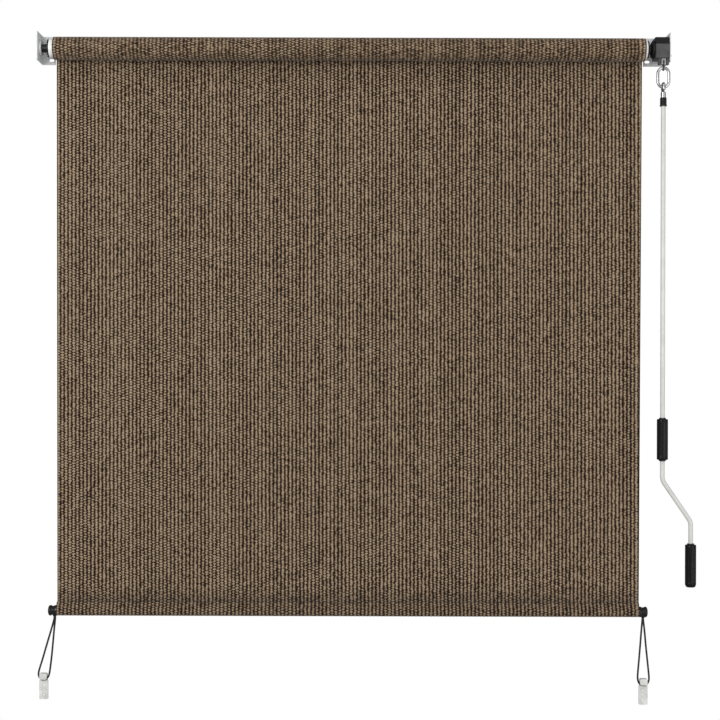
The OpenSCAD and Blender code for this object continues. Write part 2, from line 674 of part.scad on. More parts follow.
bracket_left();
bracket_right();
idler_boss();
idler_pin();
idler_plug();
roller_tube();
cloth_roll();
cloth_spline();
drive_plug();
drive_shaft();
worm_wheel();
shaft_clip();
worm_shaft();
yoke_pin();
worm_bush_top();
worm_bush_bottom();
shaft_bush_inner();
shaft_bush_outer();
gear_case();
gear_cover();
case_screws();
eye_link();
chain_link();
crank_hook();
crank_ferrule();
crank_rod();
grip_stops();
grip_end();
upper_grip();
lower_grip();
cloth_panel();
cloth_hem();
bottom_rail();
end_cap_left();
end_cap_right();
bungee_left();
bungee_right();
clip_left();
clip_right();
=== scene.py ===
import bmesh
import bpy
import math
import random
from mathutils import Matrix, Vector


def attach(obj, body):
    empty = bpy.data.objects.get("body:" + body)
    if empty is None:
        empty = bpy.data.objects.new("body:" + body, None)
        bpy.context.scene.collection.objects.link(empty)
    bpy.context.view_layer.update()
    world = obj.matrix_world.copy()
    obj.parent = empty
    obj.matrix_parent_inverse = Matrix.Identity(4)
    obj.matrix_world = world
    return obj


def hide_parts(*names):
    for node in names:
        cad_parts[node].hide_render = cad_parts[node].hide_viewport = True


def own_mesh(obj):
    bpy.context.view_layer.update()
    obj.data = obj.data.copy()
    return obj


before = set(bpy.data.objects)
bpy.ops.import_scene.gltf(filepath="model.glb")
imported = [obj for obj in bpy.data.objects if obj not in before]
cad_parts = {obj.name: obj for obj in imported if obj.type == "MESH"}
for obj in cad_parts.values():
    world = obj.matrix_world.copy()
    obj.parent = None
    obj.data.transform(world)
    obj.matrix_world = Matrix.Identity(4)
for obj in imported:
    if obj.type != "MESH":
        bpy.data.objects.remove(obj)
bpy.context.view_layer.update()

mm = 0.001
rng = random.Random(7)
scene = bpy.context.scene


def stage(words):
    print("stage:", words, flush=True)


# The camera stands square to the wall, as far off as the brackets' perspective says.
camera = {"x": 27.4, "y": -3515.0, "z": -740.6, "lens": 73.1, "sensor": 36, "roll": -0.16, "clip": 50}
camData = bpy.data.cameras.new("shade_camera")
camData.lens = camera["lens"]
camData.sensor_width = camera["sensor"]
camData.clip_end = camera["clip"]
cam = bpy.data.objects.new("shade_camera", camData)
cam.matrix_world = (
    Matrix.Translation(Vector((camera["x"], camera["y"], camera["z"])) * mm)
    @ Matrix.Rotation(math.radians(camera["roll"]), 4, "Y")
    @ Matrix.Rotation(math.radians(90), 4, "X")
)
scene.collection.objects.link(cam)
scene.camera = cam


# Materials: short ways to add and join shader nodes.
def feed(tree, socket, value):
    if isinstance(value, bpy.types.NodeSocket):
        tree.links.new(value, socket)
    else:
        socket.default_value = value


def calc(tree, operation, *values):
    node = tree.nodes.new("ShaderNodeMath")
    node.operation = operation
    for socket, value in zip(node.inputs, values):
        feed(tree, socket, value)
    return node.outputs[0]


def times(tree, one, two):
    return calc(tree, "MULTIPLY", one, two)


def total(tree, first, *others):
    for other in others:
        first = calc(tree, "ADD", first, other)
    return first


def joined(tree, x, y, z=0.0):
    node = tree.nodes.new("ShaderNodeCombineXYZ")
    for socket, value in zip(node.inputs, (x, y, z)):
        feed(tree, socket, value)
    return node.outputs[0]


def whiteNoise(tree, x, y, z=0.0):
    node = tree.nodes.new("ShaderNodeTexWhiteNoise")
    node.noise_dimensions = "3D"
    feed(tree, node.inputs["Vector"], joined(tree, x, y, z))
    return node.outputs["Value"]


def noise(tree, vector, scale, detail=2.0):
    node = tree.nodes.new("ShaderNodeTexNoise")
    node.inputs["Scale"].default_value = scale
    node.inputs["Detail"].default_value = detail
    feed(tree, node.inputs["Vector"], vector)
    return node.outputs["Fac"]


def mapped(tree, value, low, high, toLow, toHigh):
    node = tree.nodes.new("ShaderNodeMapRange")
    feed(tree, node.inputs["Value"], value)
    for name, number in (("From Min", low), ("From Max", high), ("To Min", toLow), ("To Max", toHigh)):
        node.inputs[name].default_value = number
    return node.outputs["Result"]


def ramp(tree, value, stops):
    node = tree.nodes.new("ShaderNodeValToRGB")
    while len(node.color_ramp.elements) < len(stops):
        node.color_ramp.elements.new(0.5)
    for element, (at, colour) in zip(node.color_ramp.elements, stops):
        element.position = at
        element.color = (*colour, 1)
    feed(tree, node.inputs["Fac"], value)
    return node.outputs["Color"]


def bump(tree, shader, height, strength, distance):
    node = tree.nodes.new("ShaderNodeBump")
    node.inputs["Strength"].default_value = strength
    node.inputs["Distance"].default_value = distance
    feed(tree, node.inputs["Height"], height)
    tree.links.new(node.outputs["Normal"], shader.inputs["Normal"])


def linear(code):
    parts = [int(code[i:i + 2], 16) / 255 for i in (0, 2, 4)]
    return tuple(c / 12.92 if c <= 0.04045 else ((c + 0.055) / 1.055) ** 2.4 for c in parts)


def blank(name):
    material = bpy.data.materials.new(name)
    material.use_nodes = True
    return material, material.node_tree, material.node_tree.nodes["Principled BSDF"]


def parted(tree, vector):
    node = tree.nodes.new("ShaderNodeSeparateXYZ")
    tree.links.new(vector, node.inputs[0])
    return node.outputs


def uvPoint(tree, layer):
    node = tree.nodes.new("ShaderNodeUVMap")
    node.uv_map = layer
    return parted(tree, node.outputs["UV"])[:2]


def objectPoint(tree, stretch=(1, 1, 1)):
    coords = tree.nodes.new("ShaderNodeTexCoord")
    mapping = tree.nodes.new("ShaderNodeMapping")
    mapping.inputs["Scale"].default_value = stretch
    tree.links.new(coords.outputs["Object"], mapping.inputs["Vector"])
    return mapping.outputs["Vector"]


# A plain surface with mottled colour, uneven gloss and a fine grain. black adds a black skin
# above one height and left of one place along X.
def surface(name, dark, light, rough, scale, grain, bumps, metallic=0.0, stretch=(1, 1, 1), black=None, shine=0.5):
    material, tree, shader = blank(name)
    shader.inputs["Specular IOR Level"].default_value = shine
    at = objectPoint(tree, stretch)
    patches = noise(tree, at, scale, 4)
    colour = ramp(tree, patches, [(0.3, linear(dark)), (0.7, linear(light))])
    if black:
        seam = 0.0003
        x, _, z = parted(tree, objectPoint(tree))
        over = mapped(tree, z, black["z"] - seam, black["z"] + seam, 0.0, 1.0)
        beside = mapped(tree, x, black["x"] - seam, black["x"] + seam, 1.0, 0.0)
        mixer = tree.nodes.new("ShaderNodeMix")
        mixer.data_type = "RGBA"
        tree.links.new(calc(tree, "MAXIMUM", over, beside), mixer.inputs["Factor"])
        tree.links.new(colour, mixer.inputs[6])
        skin = ramp(tree, patches, [(0.3, linear("070708")), (0.7, linear("0e0e0f"))])
        tree.links.new(skin, mixer.inputs[7])
        colour = mixer.outputs[2]
    tree.links.new(colour, shader.inputs["Base Color"])
    tree.links.new(mapped(tree, noise(tree, at, scale * 3, 3), 0.3, 0.7, *rough), shader.inputs["Roughness"])
    shader.inputs["Metallic"].default_value = metallic
    bump(tree, shader, noise(tree, at, grain, 2), bumps, 0.0004)
    return material


# The cloth's knit, in metres: its flat width and cords, and the length of a stitch, a beat and a grain along a cord.
knit = {"width": 1.402, "ribs": 154, "stitch": 0.0048, "beat": 0.0064, "grain": 0.0024}
pitch = knit["width"] / knit["ribs"]


# Knitted ribs: light cords with dark gaps between them, and stitches that vary along each cord.
def knitted(name, contrast, shade, flecks):
    material, tree, shader = blank(name)
    across, along = uvPoint(tree, "weave")

    def do(operation, *values):
        return calc(tree, operation, *values)

    def spread(x, y, z=0.0):
        return joined(tree, do("MULTIPLY", across, x), do("MULTIPLY", along, y), z)

    wander = mapped(tree, noise(tree, spread(160.0, 90.0), 1.0), 0.3, 0.7, -0.07, 0.07)
    rib = do("ADD", do("DIVIDE", across, pitch), wander)
    index = do("FLOOR", rib)
    stripe = do("MULTIPLY_ADD", do("COSINE", do("MULTIPLY", do("FRACT", rib), math.tau)), -0.5, 0.5)
    stripes = do("MULTIPLY_ADD", stripe, contrast, 0.5 * (1 - contrast))
    # how restless the knit is: more to the left, less to the right
    restless = mapped(tree, across, 0.1, 1.3, 1.0, 0.55)
    shift = do("MULTIPLY", whiteNoise(tree, index, 3.0), 7.0)
    row = do("ADD", do("DIVIDE", along, knit["stitch"]), shift)
    rowIndex = do("FLOOR", row)
    # each stitch and each gap has a tone of its own, and so has each cord
    dash = whiteNoise(tree, index, rowIndex)
    gap = whiteNoise(tree, do("FLOOR", do("ADD", rib, 0.5)), rowIndex, 5.0)
    cord = whiteNoise(tree, index, 11.0, 2.0)
    half, cell = do("FLOOR", do("MULTIPLY", rib, 2.0)), do("FLOOR", do("DIVIDE", along, knit["grain"]))
    grain = whiteNoise(tree, half, cell, 9.0)
    speck = noise(tree, spread(520.0, 360.0), 1.0, 3)
    # stitches that repeat along a cord, half a stitch further on each second cord, clearer in some patches
    beat = do("SINE", do("MULTIPLY", do("MULTIPLY_ADD", index, 0.5, do("DIVIDE", along, knit["beat"])), math.tau))
    patch = mapped(tree, noise(tree, spread(14.0, 9.0, 4.0), 1.0), 0.35, 0.65, 0.12, 0.52)
    dashes = do("MULTIPLY_ADD", do("SUBTRACT", dash, 0.5), do("MULTIPLY", restless, 0.14 * flecks), 0.98)
    # selvedges: plainer paler bands, with a dark thread along each cut edge
    leftRim, rightRim = uvPoint(tree, "rim")
    tone = total(
        tree, do("MULTIPLY", stripes, dashes),
        do("MULTIPLY", do("SUBTRACT", gap, 0.45), do("MULTIPLY", restless, 0.05 * flecks)),
        mapped(tree, grain, 0.0, 1.0, -0.19 * flecks, 0.19 * flecks),
        do("MULTIPLY", beat, do("MULTIPLY", patch, restless)),
        mapped(tree, speck, 0.3, 0.7, -0.05 * flecks, 0.05 * flecks),
        mapped(tree, cord, 0.0, 1.0, -0.07, 0.07),
        mapped(tree, rightRim, 0.016, 0.019, 0.1, 0.0),
        mapped(tree, leftRim, 0.007, 0.01, 0.08, 0.0))
    tone = do("MULTIPLY", tone, mapped(tree, do("MINIMUM", leftRim, rightRim), 0.0014, 0.0026, 0.25, 1.0))
    stops = [(0.0, "180e07"), (0.25, "352518"), (0.6, "7a644d"), (1.0, "c2aa8e")]
    # shade scales the whole colour; where a copy gets a lower one than the hanging cloth, the darkening is painted
    # shade
    colour = ramp(tree, tone, [(at, [c * shade for c in linear(code)]) for at, code in stops])
    tree.links.new(colour, shader.inputs["Base Color"])
    shader.inputs["Roughness"].default_value = 0.93
    shader.inputs["Specular IOR Level"].default_value = 0.15
    shader.inputs["Sheen Weight"].default_value = 0.1
    loops = do("MULTIPLY", do("SINE", do("MULTIPLY", row, math.tau)), 0.25)
    bump(tree, shader, do("ADD", stripes, loops), 0.5, 0.0006)
    return material


# Braided cord: two sets of threads that cross on a spiral, with a pale fleck.
def braided(name):
    material, tree, shader = blank(name)
    around, along = uvPoint(tree, "weave")
    turns = times(tree, along, 1 / 0.006)
    one, two = (calc(tree, "SINE", times(tree, calc(tree, "MULTIPLY_ADD", around, threads, turns), math.tau))
                for threads in (4.0, -4.0))
    weave = calc(tree, "MAXIMUM", one, two)
    fleck = mapped(tree, noise(tree, objectPoint(tree), 700, 2), 0.4, 0.7, -0.1, 0.2)
    tone = total(tree, mapped(tree, weave, -1.0, 1.0, 0.0, 0.8), fleck)
    colour = ramp(tree, tone, [(0.1, linear("070708")), (0.85, linear("1d1d1f"))])
    tree.links.new(colour, shader.inputs["Base Color"])
    shader.inputs["Roughness"].default_value = 0.75
    bump(tree, shader, weave, 0.6, 0.0004)
    return material


# Pale plastic that lets some light through.
def milky(name):
    material, tree, shader = blank(name)
    at = objectPoint(tree)
    colour = ramp(tree, noise(tree, at, 60, 3), [(0.3, linear("cfd0cc")), (0.7, linear("ecece8"))])
    tree.links.new(colour, shader.inputs["Base Color"])
    tree.links.new(mapped(tree, noise(tree, at, 200, 2), 0.3, 0.7, 0.22, 0.4), shader.inputs["Roughness"])
    shader.inputs["Transmission Weight"].default_value = 0.25
    shader.inputs["Subsurface Weight"].default_value = 0.2
    shader.inputs["Subsurface Radius"].default_value = (0.004, 0.004, 0.004)
    bump(tree, shader, noise(tree, at, 500, 2), 0.08, 0.0003)
    return material


finish = {
    "bracket": surface("bracket_paint", "c3c4c5", "d6d7d7", (0.35, 0.5), 30, 1400, 0.12),
    "boss": surface("boss_grey", "a9aaab", "bebfbf", (0.4, 0.6), 50, 900, 0.15),
    "steel": surface("plated_steel", "9a9b9d", "c4c4c3", (0.12, 0.24), 60, 1600, 0.06, 1.0, (1, 1, 0.25)),
    "darkSteel": surface("dark_steel", "3b3b3c", "6c6c6d", (0.3, 0.5), 60, 1600, 0.12, 1.0),
    "black": surface("black_plastic", "0a0a0b", "151516", (0.24, 0.4), 45, 1100, 0.15, shine=0.25),
    "tube": surface("white_tube", "d9d9d6", "e8e8e5", (0.3, 0.45), 30, 1200, 0.08),
    "brass": surface("brass", "8d7038", "b8995a", (0.25, 0.4), 50, 1500, 0.1, 1.0),
    "case": surface("case_plastic", "3c3c3d", "515152", (0.42, 0.6), 55, 1300, 0.3, shine=0.22,
                    black={"z": 0.0072, "x": 0.7238}),
    "rod": surface("rod_paint", "bfbfbb", "cfcfcb", (0.3, 0.42), 25, 1300, 0.06),
    "grip": surface("grip_plastic", "040405", "0a0a0b", (0.26, 0.36), 50, 1000, 0.12, shine=0.18),
    "rail": surface("rail_aluminium", "a5a6a8", "c2c3c4", (0.25, 0.4), 40, 1500, 0.1, 1.0, (0.1, 1, 1)),
    "thread": surface("sewing_thread", "1c130d", "3a2a1f", (0.7, 0.9), 300, 2000, 0.3),
    "cloth": knitted("shade_cloth", 0.95, 0.585, 1.8),
    # the roll's copy has fainter ribs, and is a little darker than the hanging cloth: painted shade
    "rollCloth": knitted("shade_cloth_roll", 0.55, 0.575, 1.6),
    # the hem's copy of the cloth is darker than the hanging cloth: painted shade
    "hemClothShaded": knitted("shade_cloth_hem_painted_shade", 0.86, 0.485, 1.5),
    "cord": braided("bungee_cord"),
    "clip": milky("clip_plastic"),
}


# Making pieces: all points are in millimetres until a vertex is made from them.
def place(bm, name, body, look, slot, replaced=(), angle=40):
    bmesh.ops.recalc_face_normals(bm, faces=bm.faces)
    mesh = bpy.data.meshes.new(name)
    bm.to_mesh(mesh)
    bm.free()
    mesh.materials.append(finish[look])
    piece = bpy.data.objects.new(name, mesh)
    scene.collection.objects.link(piece)
    for face in mesh.polygons:
        face.use_smooth = True
    mesh.set_sharp_from_angle(angle=math.radians(angle))
    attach(piece, body)
    if replaced:
        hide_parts(*replaced)
    return piece


def thicken(piece, thickness):
    solid = piece.modifiers.new("thickness", "SOLIDIFY")
    solid.thickness = thickness * mm
    solid.offset = 0


# Points on a smooth curve through the given ones.
def smooth(points, steps):
    points = [Vector(p) for p in points]
    last = len(points) - 1
    out = []
    for i in range(last):
        b, c = points[i], points[i + 1]
        a = points[i - 1] if i else b
        d = points[i + 2] if i + 2 <= last else c
        for s in range(steps):
            t = s / steps
            out.append(0.5 * ((2 * b) + (c - a) * t + (2 * a - 5 * b + 4 * c - d) * t * t
                              + (3 * b - a - 3 * c + d) * t ** 3))
    out.append(points[-1])
    return out


# Corners of a path eased with an arc of points.
def eased(corners, cut, steps, closed=False):
    corners = [Vector(c) for c in corners]
    count = len(corners)
    out = [] if closed else [corners[0]]
    for i in range(0 if closed else 1, count if closed else count - 1):
        c = corners[i]
        a = c + (corners[i - 1] - c).normalized() * cut
        b = c + (corners[(i + 1) % count] - c).normalized() * cut
        for s in range(steps + 1):
            t = s / steps
            out.append((1 - t) ** 2 * a + 2 * t * (1 - t) * c + t * t * b)
    if not closed:
        out.append(corners[-1])
    return out


# Faces between two rings with the same number of vertices.
def band(bm, low, high):
    count = len(low)
    return [bm.faces.new((low[k], low[(k + 1) % count], high[(k + 1) % count], high[k])) for k in range(count)]


# A tube round a path: one ring a point, bridged, with its length along the path in a UV map.
# A level tube starts and ends square to Z.
def sweep(bm, points, radius, sides, closed=False, flat=Vector((0, 1, 0)), level=False):
    count = len(points)
    layer = bm.loops.layers.uv.get("weave") or bm.loops.layers.uv.new("weave")
    rings, run, travelled = [], [], 0.0
    for i, p in enumerate(points):
        before = points[i - 1] if i or closed else p
        after = points[(i + 1) % count] if i < count - 1 or closed else p
        way = (after - before).normalized()
        if level and not closed and i in (0, count - 1):
            way = Vector((0, 0, math.copysign(1, way.z)))
        side = way.cross(flat).normalized()
        up = way.cross(side)
        if i:
            travelled += (p - points[i - 1]).length
        run.append(travelled)
        ring = []
        for k in range(sides):
            turn = k * math.tau / sides
            ring.append(bm.verts.new((p + side * radius * math.cos(turn) + up * radius * math.sin(turn)) * mm))
        rings.append(ring)
    run.append(travelled + (points[0] - points[-1]).length)
    for i in range(count if closed else count - 1):
        for k, face in enumerate(band(bm, rings[i], rings[(i + 1) % count])):
            for loop, (a, end) in zip(face.loops, ((k, i), (k + 1, i), (k + 1, i + 1), (k, i + 1))):
                loop[layer].uv = (a / sides, run[end] * mm)
    if not closed:
        for ring in (rings[0], rings[-1]):
            bm.faces.new(ring)


def ranked(elements, key):
    places = {element: place for place, element in enumerate(sorted(elements, key=key))}
    elements.sort(key=places.get)
    elements.index_update()


# A turned piece: a profile of (radius, run) spun about an axis through a point.
def turned(bm, profile, at, axis, steps):
    axis = Vector(axis)
    side = Vector((0, 0, 1)) if abs(axis.x) > 0.5 else Vector((1, 0, 0))
    verts = [bm.verts.new((Vector(at) + side * r + axis * t) * mm) for r, t in profile]
    edges = [bm.edges.new(pair) for pair in zip(verts, verts[1:])]
    bmesh.ops.spin(bm, geom=verts + edges, cent=Vector(at) * mm, axis=axis, angle=math.tau, steps=steps,
                   use_merge=True)
    bmesh.ops.remove_doubles(bm, verts=bm.verts, dist=1e-7)
    # one order of vertices and faces, whichever of them were merged first
    ranked(bm.verts, lambda v: tuple(v.co))
    ranked(bm.faces, lambda f: sorted(v.index for v in f.verts))


# The ribs hang a little to the right of plumb, and the cut edges of the cloth run across them.
lean = {"shift": 3.5, "over": 1320}


def leaning(z):
    return lean["shift"] * min(1.0, max(0.0, -z / lean["over"]))


# A cloth strip: ribs across X, and a section through (y, z) with its outward normal and its length.
def clothStrip(name, section, left, right, body, look, replaced, lift=0.42):
    bm = bmesh.new()
    layer = bm.loops.layers.uv.new("weave")
    rim = bm.loops.layers.uv.new("rim")
    cellsPerRib = 6
    columns, rows = knit["ribs"] * cellsPerRib, len(section) - 1
    # half the cloth's width, in millimetres
    half = knit["width"] * 500
    squeezed = 2 * cellsPerRib
    bmesh.ops.create_grid(bm, x_segments=columns, y_segments=rows, size=0.5)
    spot = {}
    for v in bm.verts:
        i = round((v.co.x + 0.5) * columns)
        j = round((v.co.y + 0.5) * rows)
        y, z, ny, nz, run = section[j]
        # columns keep the pitch of the ribs, apart from the outermost, which end on the cut edge
        inner = min(max(i, squeezed), columns - squeezed)
        x = -half + leaning(z) + 2 * half * inner / columns
        if i < squeezed:
            x = left(z) + (x - left(z)) * i / squeezed
        if i > columns - squeezed:
            x = right(z) + (x - right(z)) * (columns - i) / squeezed
        weft = (x - leaning(z) + half) * mm
        swell = 0.5 - 0.5 * math.cos(math.tau * weft / pitch)
        push = lift * (swell ** 0.8 - 0.5)
        v.co = Vector((x, y + ny * push, z + nz * push)) * mm
        spot[v] = (weft, run * mm), ((x - left(z)) * mm, (right(z) - x) * mm)
    for face in bm.faces:
        for loop in face.loops:
            loop[layer].uv, loop[rim].uv = spot[loop.vert]
    return place(bm, name, body, look, "shade_cloth", replaced, 180)


# Cords: the same routes as in the part's source, in millimetres.
panelY = -13.4
railZ = -1342.05
footZ = railZ - 13.5
bungee = {"diameter": 4.5, "sides": 14, "steps": 4,
          "depths": (-2.6, -2.6, -2.4, -2.2, -1.6, -1, -0.5, 0, 0, 0, 0, 0, 0.5, 1, 1.6, 2.2, 2.4, 2.6, 2.6)}
bungees = {
    "left": {
        "foot": -701.7, "clip": "clip_left", "node": "bungee_left",
        "route": [(-0.6, 0), (-1.6, -9), (-8.6, -34), (-18.6, -68), (-28.5, -102), (-36, -126), (-38.6, -137.5),
                  (-37.4, -145.5), (-33, -151), (-27, -152.7), (-20.6, -150.6), (-15.3, -145.2), (-12.7, -137),
                  (-10.6, -122.5), (-7.8, -98), (-4.8, -65), (-2.2, -34), (0.2, -9), (0.6, 0)]},
    "right": {
        "foot": 706.3, "clip": "clip_right", "node": "bungee_right",
        "route": [(-1.3, 0), (-2, -9), (-4.1, -35), (-6.8, -71), (-9.4, -104.5), (-11.7, -133), (-11.9, -145),
                  (-10, -154), (-5.4, -160), (2, -162), (9.2, -160), (13.7, -154), (15.4, -145), (14.6, -133),
                  (11.7, -104), (8.2, -70.5), (5, -35), (2.1, -9), (1.3, 0)]},
}
for side, facts in bungees.items():
    route = [(facts["foot"] + x, panelY + y, footZ + z) for (x, z), y in zip(facts["route"], bungee["depths"])]
    path = smooth(route, bungee["steps"])
    bm = bmesh.new()
    sweep(bm, path, bungee["diameter"] / 2, bungee["sides"], level=True)
    cordPiece = place(bm, "bungee_loop_" + side, "bottom_bar", "cord", "bungee_cord", (facts["node"],), 60)
stage("cords")


# The cloth: the turns on the roller, the hanging panel and the hem.
roll = {"y": -42.0, "z": -2.5, "radius": 27.2, "steps": 72, "half": 701}


# A point of the roll's section at a radius and a turn: y, z and the outward direction.
def rollPoint(radius, turn):
    ny, nz = math.cos(turn), math.sin(turn)
    return roll["y"] + radius * ny, roll["z"] + radius * nz, ny, nz


rollSection = []
for k in range(roll["steps"] + 1):
    turn = math.tau * k / roll["steps"]
    rollSection.append((*rollPoint(roll["radius"], turn), roll["radius"] * turn))
clothStrip("cloth_on_roller", rollSection, lambda z: -roll["half"], lambda z: roll["half"], "roller", "rollCloth",
           ("cloth_roll",))

hem = {"radius": 12.0, "rise": 21.0, "half": 1.1, "left": -696.9, "right": 696.9, "slopeSteps": 6, "roundSteps": 26,
       "thick": 0.5}
panelForm = {"turns": 4, "turnStep": 6, "clear": 1.0, "topY": -13.8, "settle": 0.4, "settleRows": 3, "rows": 30,
             "left": (-700.9, 5.4), "right": (700.9, -4.4), "drop": -1320, "lift": 0.5, "thick": 0.7}


# The panel's cut edges drift inwards on the way down.
def cutEdge(side):
    top, drift = panelForm[side]
    return lambda z: top + drift * (z - roll["z"]) / panelForm["drop"]


panelSection = []
for k in range(panelForm["turns"], 0, -1):
    turn = math.radians(panelForm["turnStep"] * k)
    radius = roll["radius"] + panelForm["clear"]
    y, z, ny, nz = rollPoint(radius, turn)
    panelSection.append((y, z, -ny, -nz, -radius * turn))
for k in range(panelForm["rows"] + 1):
    z = roll["z"] + (railZ + hem["rise"] - roll["z"]) * k / panelForm["rows"]
    settled = min(1.0, k / panelForm["settleRows"])
    panelSection.append((panelForm["topY"] + panelForm["settle"] * settled, z, -1, 0, roll["z"] - z))
panel = clothStrip("hanging_cloth", panelSection, cutEdge("left"), cutEdge("right"), "frame", "cloth",
                   ("cloth_panel",), panelForm["lift"])
thicken(panel, panelForm["thick"])

# the hem: down the front, round the rail and up the back
slant = math.acos(hem["radius"] / hem["rise"])
front = [(-hem["half"] + (-hem["radius"] * math.sin(slant) + hem["half"]) * k / hem["slopeSteps"],
          hem["rise"] + (hem["radius"] * math.cos(slant) - hem["rise"]) * k / hem["slopeSteps"])
         for k in range(hem["slopeSteps"])]
hemTurns = [math.pi / 2 + slant + (math.tau - 2 * slant) * k / hem["roundSteps"]
            for k in range(hem["roundSteps"] + 1)]
around = [(hem["radius"] * math.cos(turn), hem["radius"] * math.sin(turn)) for turn in hemTurns]
outline = front + around + [(-y, z) for y, z in reversed(front)]
hemSection = []
run = roll["z"] - railZ - hem["rise"]
for k, (y, z) in enumerate(outline):
    before, after = outline[max(k - 1, 0)], outline[min(k + 1, len(outline) - 1)]
    way = Vector((after[0] - before[0], after[1] - before[1])).normalized()
    if k:
        run += math.hypot(y - outline[k - 1][0], z - outline[k - 1][1])
    outward = -abs(way.y) if panelY + y < panelY else abs(way.y)
    hemSection.append((panelY + y, railZ + z, outward, -way.x, run))
# the hem takes the darker copy of the cloth, painted shade
hemPiece = clothStrip("hem_pocket", hemSection, lambda z: hem["left"], lambda z: hem["right"], "bottom_bar",
                      "hemClothShaded", ("cloth_hem",))
thicken(hemPiece, hem["thick"])

# the row of stitches that closes the hem
stitch = {"count": 232, "half": 2.1, "top": 0.6, "height": 18.6, "inset": 3, "sag": 0.3, "low": 1.0, "high": 2.6,
          "thread": 0.55, "sides": 6}
bm = bmesh.new()
stitchZ = railZ + stitch["height"]
for k in range(stitch["count"]):
    x = hem["left"] + stitch["inset"] + (hem["right"] - hem["left"] - 2 * stitch["inset"]) * (k + 0.5) / stitch["count"]
    sag = rng.uniform(-stitch["sag"], stitch["sag"])
    points = [Vector((x + stitch["half"] * reach, panelY - out, stitchZ + fall)) for reach, out, fall in (
        (-1, stitch["low"], sag), (-stitch["top"], stitch["high"], 0),
        (stitch["top"], stitch["high"], 0), (1, stitch["low"], -sag))]
    sweep(bm, points, stitch["thread"], stitch["sides"], flat=Vector((0, 0, 1)))
stitches = place(bm, "hem_stitches", "bottom_bar", "thread", "shade_cloth", (), 60)

# the edges of the turns, a spiral at each end of the roll
spiral = {"inner": 22.2, "outer": 27.0, "turns": 5, "steps": 44, "reach": 701.0, "waver": 0.9, "back": 0.3, "depth": 14,
          "thick": 0.62, "uvShift": 0.7, "uvRadius": 0.025}
bm = bmesh.new()
spiralSteps = spiral["turns"] * spiral["steps"]
for end in (-1, 1):
    last = None
    for k in range(spiralSteps + 1):
        turn = math.tau * k / spiral["steps"]
        y, z = rollPoint(spiral["inner"] + (spiral["outer"] - spiral["inner"]) * k / spiralSteps, turn)[:2]
        reach = spiral["reach"] - spiral["waver"] * (0.5 + 0.5 * math.sin(turn * 0.37 + end)) - spiral["back"]
        pair = [bm.verts.new(Vector((end * x, y, z)) * mm) for x in (reach - spiral["depth"], reach)]
        if last:
            bm.faces.new((last[0], last[1], pair[1], pair[0]))
        last = pair
turnsPiece = place(bm, "turn_edges", "roller", "rollCloth", "shade_cloth", (), 60)
weave = turnsPiece.data.uv_layers.new(name="weave")
for loop in turnsPiece.data.loops:
    co = turnsPiece.data.vertices[loop.vertex_index].co
    turn = math.atan2(co.z - roll["z"] * mm, co.y - roll["y"] * mm)
    weave.data[loop.index].uv = (co.x + spiral["uvShift"], turn * spiral["uvRadius"])
thicken(turnsPiece, spiral["thick"])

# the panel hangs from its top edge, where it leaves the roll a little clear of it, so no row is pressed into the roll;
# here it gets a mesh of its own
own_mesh(panel)
stage("cloth")


# The crank hangs in one plane: link, hook, ferrule, rod and grips.
crankX, crankY = 742.9, -58.0
upright = (0, 0, 1)


def inPlane(points):
    return [Vector((x, crankY, z)) for x, z in points]


link = {"side": 13.1, "top": -48.4, "low": -92.8, "wire": 3.4, "flat": 7, "slope": 9, "cut": 4.4}
linkCorners = [(link["flat"], link["top"]), (link["side"], link["top"] - link["slope"]),
               (link["side"], link["low"] + link["slope"]), (link["flat"], link["low"])]
linkCorners += [(-x, z) for x, z in reversed(linkCorners)]
bm = bmesh.new()
linkPath = [(crankX + p.x, p.y) for p in eased(linkCorners, link["cut"], 6, True)]
sweep(bm, inPlane(linkPath), link["wire"], 22, closed=True)
place(bm, "big_link", "link", "steel", "steel", ("chain_link",), 60)

hook = {"wire": 3.8, "bend": 7.7, "z": link["low"] + link["wire"] - 3.9 + 0.05, "tip": -5.0, "sides": 22}
hookPath = [(0, -14.5), (1.2, -12.6), (5.2, -8.6), (7.5, -4.6)]
hookPath += [(hook["bend"] * math.cos(math.radians(a)), hook["bend"] * math.sin(math.radians(a)))
             for a in range(0, 181, 15)]
hookPath += [(-hook["bend"], -2.6), (-hook["bend"], hook["tip"])]
tipProfile = [(3.8, 0), (3.6, -1.3), (2.8, -2.6), (1.5, -3.5), (0, -3.8)]
shankProfile = [(0, hook["z"] - 11.4), (4.6, hook["z"] - 11.6), (6.1, hook["z"] - 13), (6.1, -118.7), (0, -118.7)]
bm = bmesh.new()
sweep(bm, [Vector((crankX, crankY + y, hook["z"] + z)) for y, z in hookPath], hook["wire"], hook["sides"],
      flat=Vector((1, 0, 0)))
turned(bm, tipProfile, (crankX, crankY - hook["bend"], hook["z"] + hook["tip"]), upright, hook["sides"])
turned(bm, shankProfile, (crankX, crankY, 0), upright, 40)
place(bm, "rod_hook", "crank", "steel", "steel", ("crank_hook",), 40)

ferruleProfile = [(0, -118.6), (6.9, -118.6), (7.6, -119.4), (7.7, -122), (7.8, -135.4), (8.3, -136.2),
                  (8.4, -138.2), (7.9, -138.9), (5.5, -138.9)]
bm = bmesh.new()
turned(bm, ferruleProfile, (crankX, crankY, 0), upright, 48)
place(bm, "rod_ferrule", "crank", "black", "black_plastic", ("crank_ferrule",), 40)

lowX = crankX + 67.4
rod = {"radius": 5.5, "ease": 10, "easeSteps": 12, "sides": 28,
       "corners": [(crankX, -124.9), (crankX, -1023), (lowX, -1121), (lowX, -1272.2)]}
bm = bmesh.new()
rodPath = [(p.x, p.y) for p in eased(rod["corners"], rod["ease"], rod["easeSteps"])]
sweep(bm, inPlane(rodPath), rod["radius"], rod["sides"])
place(bm, "rod_tube", "crank", "rod", "rod_paint", ("crank_rod",), 60)

